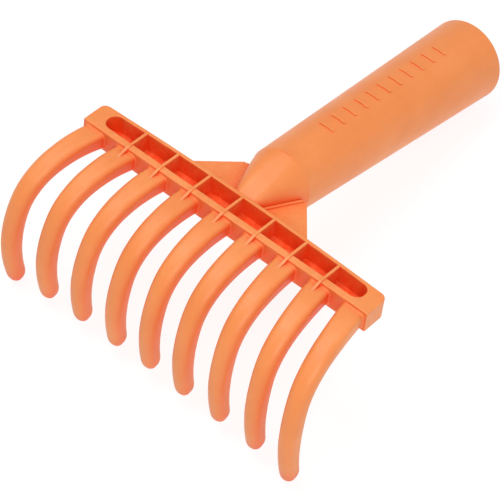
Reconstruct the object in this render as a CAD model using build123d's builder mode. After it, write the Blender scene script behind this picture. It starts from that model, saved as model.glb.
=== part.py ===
from build123d import *
import math
import os

# Nine-tine hand rake, moulded in one piece from polypropylene.  Millimetres, +Z up.
# The rake lies on a flat surface the way it does when put down: on the tips of its
# outer tines and on the lowest point of the handle's open end.  The origin is on that
# surface, under the middle of the rake, +X is along the bar and +Y runs back
# along the handle.

# ---------------------------------------------------------------- driving dimensions
head_tilt = 8.1            # the bar's flat top leans back by this, degrees
head_y = -59.66            # the bar's front top edge, in the object's frame
head_z = 66.25             # its height

pitch = 17.5               # tine and pocket spacing
bar_half = 77.1            # half the overall width of the bar
block_x = 64.6             # the end blocks start here, inside the last pockets
bar_h = 10.8               # depth of the bar, top to underside
bar_mid = 15.1             # front face to the back of the bar at its middle
bar_end = 13.2             # the same at its ends: the back is bowed
rim_front = 3.3            # front rim, front face to pocket
rim_back = 1.9             # back rim
pocket_end = 69.6          # the row of pockets stops here
pocket_floor = 2.2
rib_t = 1.25               # partition ribs between the pockets
rib_proud = 0.3            # the ribs stand this far above the rims

stub = 2.4                 # tine roots moulded on the bar, up to where a tine node starts
root_fillet = 0.9

handle_tilt = 6.6          # handle axis below the bar's top plane, degrees
handle_y = 38.6            # where the handle starts behind the bar's front face
handle_z = -8.5            # height of the axis there
handle_len = 134.5
handle_r0 = 15.4           # outer radius at the front
handle_r1 = 19.1           # outer radius at the open end
ring = 3.0                 # front stretch of the tube that belongs to the neck
mouth_r = 16.6             # bore radius at the mouth
seat_r = 15.0              # cylindrical pole seat
seat_from = 15.0           # from the mouth
seat_len = 60.0
bore_end_r = 12.2
bore_len = 122.0

neck_half = 5.9            # half width of the neck where it meets the bar
web_t = 3.0                # gusset web thickness
web_half = 34.2            # half width of the gusset where it meets the bar
web_back_half = 17.1       # and at its back edge
web_back_y = 35.6
web_z = -4.5               # top of the web at the back of the bar

# tine centre lines, from the middle tine outwards; u runs from 0 at the bar to 1 at the tip
tine_len = [87.3, 88.7, 88.9, 90.1, 94.5]
splay_a = [0.0, 2.1, 6.9, 13.3, 18.1]      # sideways run: a*u + b*u^2
splay_b = [0.0, -0.6, -3.2, -7.7, -11.0]
tine_angle = [(0.0, -7.0), (0.25, 16.5), (0.5, 65.0), (0.75, 85.5), (1.0, 101.5)]    # below the bar's top plane
tine_extra = [6.8, 7.5, 7.6, 8.1, 9.2]     # more bend from the middle of the tine on
tine_a = [(0.0, 5.4), (0.33, 4.95), (0.67, 4.05), (1.0, 3.55)]     # half width
tine_b = [(0.0, 4.05), (0.33, 4.15), (0.67, 4.95), (1.0, 4.05)]    # half thickness
tine_round = [(0.0, 0.42), (0.15, 0.72), (0.35, 0.93), (1.0, 0.97)]   # corner radius / smaller half size
tine_top = -1.7            # the tines' flat top, below the bar's rim

mark_h = 0.4               # raised grip marks on top of the handle

os.makedirs("parts", exist_ok=True)

head = Plane(
    origin=(0, head_y, head_z),
    x_dir=(1, 0, 0),
    z_dir=(0, math.sin(math.radians(head_tilt)), math.cos(math.radians(head_tilt))),
)


def table(rows, u):
    """Straight-line interpolation in a list of (u, value)."""
    for (u0, v0), (u1, v1) in zip(rows[:-1], rows[1:]):
        if u <= u1:
            return v0 + (v1 - v0) * (u - u0) / (u1 - u0)
    return rows[-1][1]


def soft(rows, u):
    """The same list with its corners eased."""
    return sum(table(rows, min(1, max(0, u + 0.02 * k))) for k in range(-6, 7)) / 13


def on_head(point, normal=(0, 0, 1), x_dir=(1, 0, 0)):
    """A plane given in the bar's own frame: x along the bar, y back, z up from its top."""
    zero = head.from_local_coords((0, 0, 0))
    return Plane(
        origin=head.from_local_coords(point),
        x_dir=head.from_local_coords(x_dir) - zero,
        z_dir=head.from_local_coords(normal) - zero,
    )


def bar_back(x):
    """Distance from the front face to the bowed back, by its circular arc."""
    sag = bar_mid - bar_end
    r = (bar_half**2 + sag**2) / (2 * sag)
    return bar_mid - r + math.sqrt(r * r - x * x)


def finish(part, name):
    part.label = name
    export_step(part, f"parts/{name}.step")
    box = part.bounding_box()
    print(f"{name}: {len(part.solids())} solid, {part.volume:.0f} mm3, valid {part.is_valid}, "
          f"z {box.min.Z:.2f}..{box.max.Z:.2f}, y {box.min.Y:.2f}..{box.max.Y:.2f}")
    return part


up_axis = Axis(head.origin, head.z_dir)


# ---------------------------------------------------------------- tines
def tine_sections(j, side):
    """Stations of one tine, j pitches from the middle, in the bar's own frame.

    Each is (point, normal, half width, half thickness, corner radius).  The first lies
    just inside the bar and the last ones close the round tip.
    """
    length, extra = tine_len[j], tine_extra[j]
    steps = 240

    def angle(u):
        return math.radians(table(tine_angle, u) + extra * min(1, 2 * u))

    y, z = 0.0, tine_top - tine_b[0][1]
    path = [(y, z)]
    for n in range(steps):
        ph = angle((n + 0.5) / steps)
        y -= math.cos(ph) * length / steps
        z -= math.sin(ph) * length / steps
        path.append((y, z))

    def at(u):
        f = u * steps
        n = min(int(f), steps - 1)
        w = f - n
        yy = path[n][0] * (1 - w) + path[n + 1][0] * w
        zz = path[n][1] * (1 - w) + path[n + 1][1] * w
        x = side * (j * pitch + splay_a[j] * u + splay_b[j] * u * u)
        ph = angle(u)
        return (x, yy, zz), (0, -math.cos(ph), -math.sin(ph))

    tip_a, tip_b = tine_a[-1][1], tine_b[-1][1]
    tip_len = 0.95 * (tip_a + tip_b)
    u_dome = 1 - tip_len / length
    a, b, r = tine_a[0][1], tine_b[0][1], tine_round[0][1] * min(tine_a[0][1], tine_b[0][1])
    out = [((side * j * pitch, 0.6, path[0][1] - 0.07), (0, -1, 0), a, b, r)]
    for u in [0.02, 0.05, 0.09, 0.14, 0.2, 0.27, 0.35, 0.43, 0.51, 0.59, 0.67, 0.74, 0.8, 0.86, u_dome]:
        p, n = at(u)
        a, b = soft(tine_a, u), soft(tine_b, u)
        out.append((p, n, a, b, soft(tine_round, u) * min(a, b)))
    a, b = soft(tine_a, u_dome), soft(tine_b, u_dome)
    for deg in (14, 28, 41, 53, 64, 74, 83):
        c, s = math.cos(math.radians(deg)), math.sin(math.radians(deg))
        p, n = at(u_dome + s * tip_len / length)
        out.append((p, n, a * c, b * c, 0.97 * min(a, b) * c))
    return out


whole_tines = []
for number in range(1, 10):
    j, side = abs(number - 5), (1 if number >= 5 else -1)
    with BuildPart() as whole:
        for p, n, a, b, r in tine_sections(j, side):
            with BuildSketch(on_head(p, n)):
                RectangleRounded(2 * a, 2 * b, r)
        loft()
    whole_tines.append(whole.part)


# ---------------------------------------------------------------- cross bar
def back_arc(inset, half):
    """The bowed back line, or a line parallel to it, between +half and -half."""
    return ThreePointArc(
        (half, bar_back(half) - inset), (0, bar_mid - inset), (-half, bar_back(half) - inset)
    )


# the whole comb: bar, long open slot and tines, blended together and cut up below
with BuildPart() as blank:
    with BuildSketch(on_head((0, 0, 0))):
        with BuildLine():
            Polyline((-bar_half, bar_end), (-bar_half, 0), (bar_half, 0), (bar_half, bar_end))
            back_arc(0, bar_half)
        make_face()
    extrude(amount=-bar_h)
    upright = blank.edges().filter_by(up_axis).sort_by(Axis.Y)
    fillet(upright[-2:], radius=3.2)
    upright = blank.edges().filter_by(up_axis).sort_by(Axis.Y)
    fillet(upright[:2], radius=0.5)
    with BuildSketch(on_head((0, 0, 0))) as slot:
        with BuildLine():
            Polyline(
                (-pocket_end, bar_back(pocket_end) - rim_back),
                (-pocket_end, rim_front),
                (pocket_end, rim_front),
                (pocket_end, bar_back(pocket_end) - rim_back),
            )
            back_arc(rim_back, pocket_end)
        make_face()
        fillet(slot.vertices(), radius=3.9)
    extrude(amount=-(bar_h - pocket_floor), mode=Mode.SUBTRACT)
    top = blank.faces().sort_by(up_axis)[-1]
    fillet(top.outer_wire().edges(), radius=0.6)
    top = blank.faces().sort_by(up_axis)[-1]
    fillet(top.inner_wires()[0].edges(), radius=0.3)
    under = blank.faces().sort_by(up_axis)[0].outer_wire().edges().sort_by(Axis.Y)
    fillet(under[1:], radius=0.6)
    for whole_tine in whole_tines:
        add(whole_tine)
    front = blank.faces().filter_by(
        lambda f: f.geom_type == GeomType.PLANE
        and abs(head.to_local_coords(f.center()).Y) < 0.01
    ).sort_by(SortBy.AREA)[-1]
    roots = [e for w in front.inner_wires() for e in w.edges()]
    fillet(roots, radius=root_fillet)

def slab(x0, x1, y0, y1, z0, z1):
    """A box given in the bar's own frame."""
    with BuildPart() as piece:
        with BuildSketch(on_head((0, 0, z0))):
            with Locations(((x0 + x1) / 2, (y0 + y1) / 2)):
                Rectangle(x1 - x0, y1 - y0)
        extrude(amount=z1 - z0)
    return piece.part


tines = []
for number in range(1, 10):
    x = (number - 5) * pitch
    with BuildPart() as tine:
        add(blank.part)
        add(slab(-120, 120, -80, -stub, -100, 20), mode=Mode.INTERSECT)
    piece = tine.part.solids().sort_by(Axis.X)[number - 1]
    with BuildPart() as tine:
        add(piece)
    tines.append(finish(tine.part, f"tine_{number}"))

with BuildPart() as front_wall:
    add(blank.part)
    add(slab(-90, 90, -stub, rim_front, -20, 5), mode=Mode.INTERSECT)
finish(front_wall.part, "front_wall")

with BuildPart() as floor_plate:
    with BuildSketch(on_head((0, 0, -(bar_h - pocket_floor)))):
        with BuildLine():
            Polyline(
                (-block_x, bar_back(block_x) - rim_back),
                (-block_x, rim_front),
                (block_x, rim_front),
                (block_x, bar_back(block_x) - rim_back),
            )
            back_arc(rim_back, block_x)
        make_face()
    extrude(amount=-pocket_floor)
finish(floor_plate.part, "pocket_floor")

with BuildPart() as back_wall:
    add(blank.part)
    add(slab(-block_x, block_x, rim_front, 30, -20, 5), mode=Mode.INTERSECT)
    add(floor_plate.part, mode=Mode.SUBTRACT)
finish(back_wall.part, "back_wall")

for name, x0, x1 in (("end_block_left", -90, -block_x), ("end_block_right", block_x, 90)):
    with BuildPart() as block:
        add(blank.part)
        add(slab(x0, x1, rim_front, 30, -20, 5), mode=Mode.INTERSECT)
    finish(block.part, name)

# ---------------------------------------------------------------- partition ribs
for number in range(2, 9):
    x = (number - 5) * pitch
    back = bar_back(x) - rim_back + 0.3
    with BuildPart() as rib:
        # seen from the side: fills the slot, runs over the front rim and fades on the tine
        with BuildSketch(on_head((x, 0, 0), (1, 0, 0), (0, 1, 0))):
            with BuildLine():
                Polyline(
                    (back, 0.05),
                    (rim_front - 0.6, rib_proud),
                    (0.7, rib_proud),
                    (-6.2, tine_top + 0.12),
                    (-6.2, -5.0),
                    (rim_front, -5.0),
                    (rim_front, -(bar_h - pocket_floor)),
                    (back, -(bar_h - pocket_floor)),
                    close=True,
                )
            make_face()
        extrude(amount=rib_t / 2, both=True)
        add(front_wall.part, mode=Mode.SUBTRACT)
        add(back_wall.part, mode=Mode.SUBTRACT)
        add(tines[number - 1], mode=Mode.SUBTRACT)
    finish(rib.part, f"pocket_rib_{number}")

# ---------------------------------------------------------------- handle
t = math.radians(handle_tilt)
along = (0, math.cos(t), -math.sin(t))
start = (0, handle_y, handle_z)


def radius_at(s):
    return handle_r0 + (handle_r1 - handle_r0) * s / handle_len


def on_axis(s):
    """A plane square to the handle's axis, s behind its front, x along the bar."""
    return on_head(
        (0, handle_y + s * math.cos(t), handle_z - s * math.sin(t)), along
    )


lengthwise = on_head(start, (0, math.sin(t), math.cos(t)))     # x across, y along the axis
with BuildPart() as socket:
    with BuildSketch(lengthwise):
        with BuildLine():
            Polyline(
                (0, ring),
                (radius_at(ring), ring),
                (handle_r1, handle_len),
                (mouth_r, handle_len),
                (seat_r, handle_len - seat_from),
                (seat_r, handle_len - seat_from - seat_len),
                (bore_end_r, handle_len - bore_len + 3),
                (bore_end_r - 3, handle_len - bore_len),
                (0, handle_len - bore_len),
                close=True,
            )
        make_face()
    revolve(axis=Axis(lengthwise.origin, lengthwise.y_dir))
    rim = socket.faces().filter_by(
        lambda f: f.geom_type == GeomType.PLANE
    ).sort_by(Axis(lengthwise.origin, lengthwise.y_dir))[-1]
    fillet(rim.edges(), radius=0.9)
finish(socket.part, "handle_socket")

with BuildPart() as neck:
    # front end of the cone
    with BuildSketch(on_axis(ring)):
        Circle(radius_at(ring))
    with BuildSketch(on_axis(0)):
        Circle(handle_r0)
    loft(ruled=True)
    # wedge from the cone's front circle down to the bar
    with BuildSketch(on_axis(0)):
        RectangleRounded(2 * handle_r0 - 0.3, 2 * handle_r0 - 0.3, handle_r0 - 0.5)
    with BuildSketch(on_head((0, 27.4, -6.9), (0, math.cos(t / 2), -math.sin(t / 2)))):
        RectangleRounded(2 * 11.0, 2 * 10.4, 8.4)
    with BuildSketch(on_head((0, bar_mid - 0.9, -5.6), (0, 1, 0))):
        RectangleRounded(2 * neck_half, 9.2, 2.6)
    loft()
    add(back_wall.part, mode=Mode.SUBTRACT)
finish(neck.part, "neck")

# ---------------------------------------------------------------- gusset webs
slope = math.radians(7.7)
web_plane = on_head((0, bar_mid, web_z), (0, math.sin(slope), math.cos(slope)))
web_run = (web_back_y - bar_mid) / math.cos(slope)
for name, side in (("gusset_left", -1), ("gusset_right", 1)):
    with BuildPart() as web:
        with BuildSketch(web_plane):
            with BuildLine():
                Polyline(
                    (0, -1.1),
                    (side * (web_half + 0.6), -1.1),
                    (side * web_back_half, web_run),
                    (0, web_run),
                    close=True,
                )
            make_face()
        extrude(amount=-web_t)
        # low rounded bead that follows the neck
        inner = [(5.7, -1.1), (10.7, 12.0), (14.2, web_run - 0.3)]
        with BuildSketch(web_plane.offset(-0.5)):
            with BuildLine():
                Polyline(
                    *[(side * x, y) for x, y in inner],
                    *[(side * (x + 1.5), y) for x, y in reversed(inner)],
                    close=True,
                )
            make_face()
        extrude(amount=1.5)
        crown = web.faces().filter_by(
            lambda f: f.geom_type == GeomType.PLANE and f.area < 60
        ).sort_by(Axis(web_plane.origin, web_plane.z_dir))[-1]
        fillet(crown.edges(), radius=0.55)
        for other in (back_wall.part, neck.part, socket.part):
            add(other, mode=Mode.SUBTRACT)
    finish(web.part, name)

# ---------------------------------------------------------------- grip marks
with BuildPart() as marks:
    with BuildSketch(lengthwise):
        with BuildLine():
            Polyline(
                (radius_at(20), 20),
                (radius_at(20) + mark_h, 20),
                (radius_at(112) + mark_h, 112),
                (radius_at(112), 112),
                close=True,
            )
        make_face()
    revolve(axis=Axis(lengthwise.origin, lengthwise.y_dir))
    with BuildSketch(on_head(start, (0, math.sin(t), math.cos(t))), mode=Mode.PRIVATE) as dashes:
        with Locations(*[(0, 27 + 8.0 * n) for n in range(11)]):
            RectangleRounded(7.6, 1.7, 0.8)
    extrude(dashes.sketch, amount=40, mode=Mode.INTERSECT)
finish(marks.part, "grip_marks")
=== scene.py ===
import bpy
import bmesh
import math
from mathutils import Matrix, Vector


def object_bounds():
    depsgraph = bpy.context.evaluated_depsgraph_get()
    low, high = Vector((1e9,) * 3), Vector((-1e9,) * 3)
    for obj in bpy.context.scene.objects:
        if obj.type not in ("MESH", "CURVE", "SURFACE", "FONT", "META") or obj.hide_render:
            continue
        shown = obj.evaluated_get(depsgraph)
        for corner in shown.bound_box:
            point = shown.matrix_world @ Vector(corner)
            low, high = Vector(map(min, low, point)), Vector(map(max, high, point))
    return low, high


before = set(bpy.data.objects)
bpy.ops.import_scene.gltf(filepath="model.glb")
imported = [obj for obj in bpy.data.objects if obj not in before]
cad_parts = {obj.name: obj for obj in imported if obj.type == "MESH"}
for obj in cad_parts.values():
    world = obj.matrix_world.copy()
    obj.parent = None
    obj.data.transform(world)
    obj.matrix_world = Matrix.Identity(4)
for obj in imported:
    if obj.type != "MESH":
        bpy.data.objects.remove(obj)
CAD_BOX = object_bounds()
SLOT = "orange_plastic"
scene = bpy.context.scene


# ------------------------------------------------------------------ node helpers
def new_material(name):
    m = bpy.data.materials.new(name)
    m.use_nodes = True
    m.node_tree.nodes.clear()
    return m, m.node_tree.nodes, m.node_tree.links


def add_node(nodes, kind, **values):
    n = nodes.new(kind)
    for key, value in values.items():
        setattr(n, key, value)
    return n


def noise(nodes, links, vector, scale, detail=4.0, rough=0.55, distortion=0.0):
    n = add_node(nodes, "ShaderNodeTexNoise")
    n.inputs["Scale"].default_value = scale
    n.inputs["Detail"].default_value = detail
    n.inputs["Roughness"].default_value = rough
    n.inputs["Distortion"].default_value = distortion
    links.new(vector, n.inputs["Vector"])
    return n


def ramp(nodes, links, value, stops):
    n = add_node(nodes, "ShaderNodeValToRGB")
    r = n.color_ramp
    while len(r.elements) > 1:
        r.elements.remove(r.elements[-1])
    r.elements[0].position, r.elements[0].color = stops[0][0], stops[0][1]
    for pos, col in stops[1:]:
        r.elements.new(pos).color = col
    links.new(value, n.inputs["Fac"])
    return n


def grey(v):
    return (v, v, v, 1.0)


# ------------------------------------------------------------------ moulded plastic
def plastic(name, tone=1.0, rough=0.40, grain=0.05, scuffs=0.5, seed=0.0):
    """Orange moulded polypropylene: cloudy pigment, flow marks, painted deeper red shade in recesses, fine skin
    grain, faint rubbing.
    """
    m, nodes, links = new_material(name)
    out = add_node(nodes, "ShaderNodeOutputMaterial")
    bsdf = add_node(nodes, "ShaderNodeBsdfPrincipled")
    links.new(bsdf.outputs["BSDF"], out.inputs["Surface"])
    coord = add_node(nodes, "ShaderNodeTexCoord")
    shift = add_node(nodes, "ShaderNodeMapping")
    shift.inputs["Location"].default_value = (seed, seed * 0.7, -seed * 0.3)
    links.new(coord.outputs["Object"], shift.inputs["Vector"])
    pos = shift.outputs["Vector"]

    # pigment: broad clouds and long soft flow marks
    cloud = noise(nodes, links, pos, 38.0, 3.0, 0.5, 0.4)
    flow_map = add_node(nodes, "ShaderNodeMapping")
    flow_map.inputs["Scale"].default_value = (210.0, 30.0, 60.0)
    links.new(pos, flow_map.inputs["Vector"])
    flow = noise(nodes, links, flow_map.outputs["Vector"], 1.0, 5.0, 0.6, 0.8)
    base = (0.845 * tone, 0.264 * tone, 0.074 * tone, 1)
    light = (0.87 * tone, 0.287 * tone, 0.086 * tone, 1)
    dark = (0.82 * tone, 0.239 * tone, 0.062 * tone, 1)
    c1 = ramp(nodes, links, cloud.outputs["Fac"], [(0.28, dark), (0.5, base), (0.74, light)])
    streak = ramp(nodes, links, flow.outputs["Fac"], [(0.35, grey(0.955)), (0.62, grey(1.0)), (0.8, grey(1.0))])
    mix0 = add_node(nodes, "ShaderNodeMix", data_type="RGBA", blend_type="MULTIPLY")
    mix0.inputs["Factor"].default_value = 0.6
    links.new(c1.outputs["Color"], mix0.inputs["A"])
    links.new(streak.outputs["Color"], mix0.inputs["B"])
    # painted shade: the colour turns deeper and redder where ambient occlusion finds pockets, creases and the
    # gaps between the tines, standing in for shade and red bounce light
    ao = add_node(nodes, "ShaderNodeAmbientOcclusion")
    ao.samples = 12
    ao.inputs["Distance"].default_value = 0.016
    painted_shade_ramp = ramp(nodes, links, ao.outputs["AO"], [(0.34, grey(1.0)), (0.66, grey(0.52)), (0.97, grey(0.0))])
    mix = add_node(nodes, "ShaderNodeMix", data_type="RGBA", blend_type="MIX")
    links.new(painted_shade_ramp.outputs["Color"], mix.inputs["Factor"])
    links.new(mix0.outputs["Result"], mix.inputs["A"])
    # painted shade colour: saturated deep red laid into the occluded recesses
    mix.inputs["B"].default_value = (0.86, 0.075, 0.009, 1)
    # paler rubbing on convex edges
    geo = add_node(nodes, "ShaderNodeNewGeometry")
    edge = ramp(nodes, links, geo.outputs["Pointiness"], [(0.50, grey(0.0)), (0.60, grey(1.0))])
    wear_noise = noise(nodes, links, pos, 420.0, 5.0, 0.65)
    wear_mask = ramp(nodes, links, wear_noise.outputs["Fac"], [(0.42, grey(0.0)), (0.66, grey(1.0))])
    wear = add_node(nodes, "ShaderNodeMath", operation="MULTIPLY")
    links.new(edge.outputs["Color"], wear.inputs[0])
    links.new(wear_mask.outputs["Color"], wear.inputs[1])
    wear2 = add_node(nodes, "ShaderNodeMath", operation="MULTIPLY")
    wear2.inputs[1].default_value = 0.45 * scuffs
    links.new(wear.outputs["Value"], wear2.inputs[0])
    mix2 = add_node(nodes, "ShaderNodeMix", data_type="RGBA", blend_type="MIX")
    links.new(wear2.outputs["Value"], mix2.inputs["Factor"])
    links.new(mix.outputs["Result"], mix2.inputs["A"])
    mix2.inputs["B"].default_value = (0.94, 0.40, 0.17, 1)
    links.new(mix2.outputs["Result"], bsdf.inputs["Base Color"])

    # roughness: patchy satin
    rn = noise(nodes, links, pos, 120.0, 6.0, 0.6, 0.3)
    rr = add_node(nodes, "ShaderNodeMapRange")
    rr.inputs["To Min"].default_value = rough - 0.07
    rr.inputs["To Max"].default_value = rough + 0.10
    links.new(rn.outputs["Fac"], rr.inputs["Value"])
    links.new(rr.outputs["Result"], bsdf.inputs["Roughness"])

    # bump: fine skin grain, slow unevenness, hairline scratches
    fine = noise(nodes, links, pos, 2600.0, 2.0, 0.5)
    slow = noise(nodes, links, pos, 150.0, 3.0, 0.5)
    scratch_map = add_node(nodes, "ShaderNodeMapping")
    scratch_map.inputs["Rotation"].default_value = (0.3, 0.2, 0.7)
    scratch_map.inputs["Scale"].default_value = (1500.0, 60.0, 500.0)
    links.new(pos, scratch_map.inputs["Vector"])
    scratch = noise(nodes, links, scratch_map.outputs["Vector"], 1.0, 2.0, 0.5)
    sc = ramp(nodes, links, scratch.outputs["Fac"], [(0.62, grey(1.0)), (0.70, grey(0.0))])
    b1 = add_node(nodes, "ShaderNodeBump")
    b1.inputs["Strength"].default_value = 0.35
    b1.inputs["Distance"].default_value = 0.0006
    links.new(slow.outputs["Fac"], b1.inputs["Height"])
    b2 = add_node(nodes, "ShaderNodeBump")
    b2.inputs["Strength"].default_value = grain
    b2.inputs["Distance"].default_value = 0.0002
    links.new(fine.outputs["Fac"], b2.inputs["Height"])
    links.new(b1.outputs["Normal"], b2.inputs["Normal"])
    b3 = add_node(nodes, "ShaderNodeBump")
    b3.inputs["Strength"].default_value = 0.05 * scuffs
    b3.inputs["Distance"].default_value = 0.0002
    links.new(sc.outputs["Color"], b3.inputs["Height"])
    links.new(b2.outputs["Normal"], b3.inputs["Normal"])
    links.new(b3.outputs["Normal"], bsdf.inputs["Normal"])

    bsdf.inputs["IOR"].default_value = 1.49
    bsdf.inputs["Specular IOR Level"].default_value = 0.38
    bsdf.inputs["Subsurface Weight"].default_value = 0.12
    bsdf.inputs["Subsurface Radius"].default_value = (0.6, 0.2, 0.06)
    bsdf.inputs["Subsurface Scale"].default_value = 0.003
    return m


MAT = plastic("moulded_plastic")
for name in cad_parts:
    o = bpy.data.objects.get(name)
    if o is None:
        continue
    for s in o.material_slots:
        s.material = MAT
    if not o.material_slots:
        o.data.materials.append(MAT)

# ------------------------------------------------------------------ floor, light, camera
floor_z = CAD_BOX[0][2]
half = 3.0
me = bpy.data.meshes.new("floor")
me.from_pydata([(-half, -half, floor_z), (half, -half, floor_z), (half, half, floor_z), (-half, half, floor_z)], [], [(0, 1, 2, 3)])
floor = bpy.data.objects.new("floor", me)
scene.collection.objects.link(floor)
fm, fn, fl = new_material("floor_paper")
fo = add_node(fn, "ShaderNodeOutputMaterial")
fb = add_node(fn, "ShaderNodeBsdfPrincipled")
fl.new(fb.outputs["BSDF"], fo.inputs["Surface"])
fc = add_node(fn, "ShaderNodeTexCoord")
fnz = noise(fn, fl, fc.outputs["Object"], 6.0, 3.0)
fr = ramp(fn, fl, fnz.outputs["Fac"], [(0.3, (0.17, 0.17, 0.17, 1)), (0.7, (0.19, 0.19, 0.19, 1))])
fl.new(fr.outputs["Color"], fb.inputs["Base Color"])
fb.inputs["Roughness"].default_value = 0.9
fb.inputs["Emission Color"].default_value = (1, 1, 1, 1)
fb.inputs["Emission Strength"].default_value = 0.84
me.materials.append(fm)

world = bpy.data.worlds.new("studio")
scene.world = world
world.use_nodes = True
world.node_tree.nodes["Background"].inputs["Color"].default_value = (1, 1, 1, 1)
world.node_tree.nodes["Background"].inputs["Strength"].default_value = 0.42


def area(name, where, target, size, power):
    d = bpy.data.lights.new(name, "AREA")
    d.shape = "DISK"
    d.size = size
    d.energy = power
    o = bpy.data.objects.new(name, d)
    scene.collection.objects.link(o)
    o.location = where
    o.rotation_euler = (Vector(target) - Vector(where)).to_track_quat("-Z", "Y").to_euler()
    return o


area("key", (0.70, -0.55, 1.05), (0, 0, 0.03), 0.9, 8.0)
area("top", (-0.35, 0.0, 1.25), (0, 0, 0.03), 0.9, 7.8)

cam_data = bpy.data.cameras.new("camera")
cam = bpy.data.objects.new("camera", cam_data)
scene.collection.objects.link(cam)
cam_data.sensor_width = 36.0
cam_data.lens = 186.907
cam_data.clip_start = 0.05
cam_data.clip_end = 20.0
cam.matrix_world = Matrix((
    (0.755436, -0.525345, 0.391572, 0.431799),
    (0.655207, 0.601635, -0.456880, -0.545415),
    (0.004437, 0.601705, 0.798706, 0.904156),
    (0, 0, 0, 1),
))
scene.camera = cam
scene.view_settings.view_transform = "Standard"
scene.view_settings.look = "None"
scene.view_settings.exposure = 0.0
